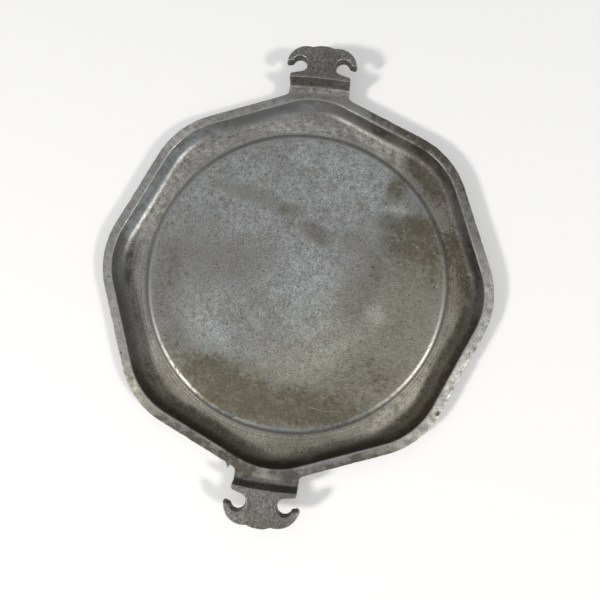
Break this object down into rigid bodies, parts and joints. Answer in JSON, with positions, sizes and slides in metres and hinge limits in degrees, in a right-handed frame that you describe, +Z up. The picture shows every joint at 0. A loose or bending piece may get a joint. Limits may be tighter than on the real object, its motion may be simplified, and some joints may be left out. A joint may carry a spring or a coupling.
{
  "type": "griddle",
  "caption": "Shallow eight-sided cast griddle with a raised round cooking disc, grease gutter, flat ground rim and a raised hook-ended lug handle at each end.",
  "frame": {"origin": "centre of the bounding box at the underside that the griddle rests on", "axes": "+Y along the handles, from the front handle to the back one, +Z up out of the pan, +X to the right"},
  "size_m": [0.3406, 0.413, 0.0297],
  "materials": {
    "seasoned_aluminium": "worn grey casting with brown staining and a ground rim",
    "sand_cast_aluminium": "dark grainy sand-cast skin"
  },
  "bodies": {
    "root": {"griddle_pan": "seasoned_aluminium", "back_handle": "sand_cast_aluminium", "front_handle": "sand_cast_aluminium"}
  },
  "joints": []
}
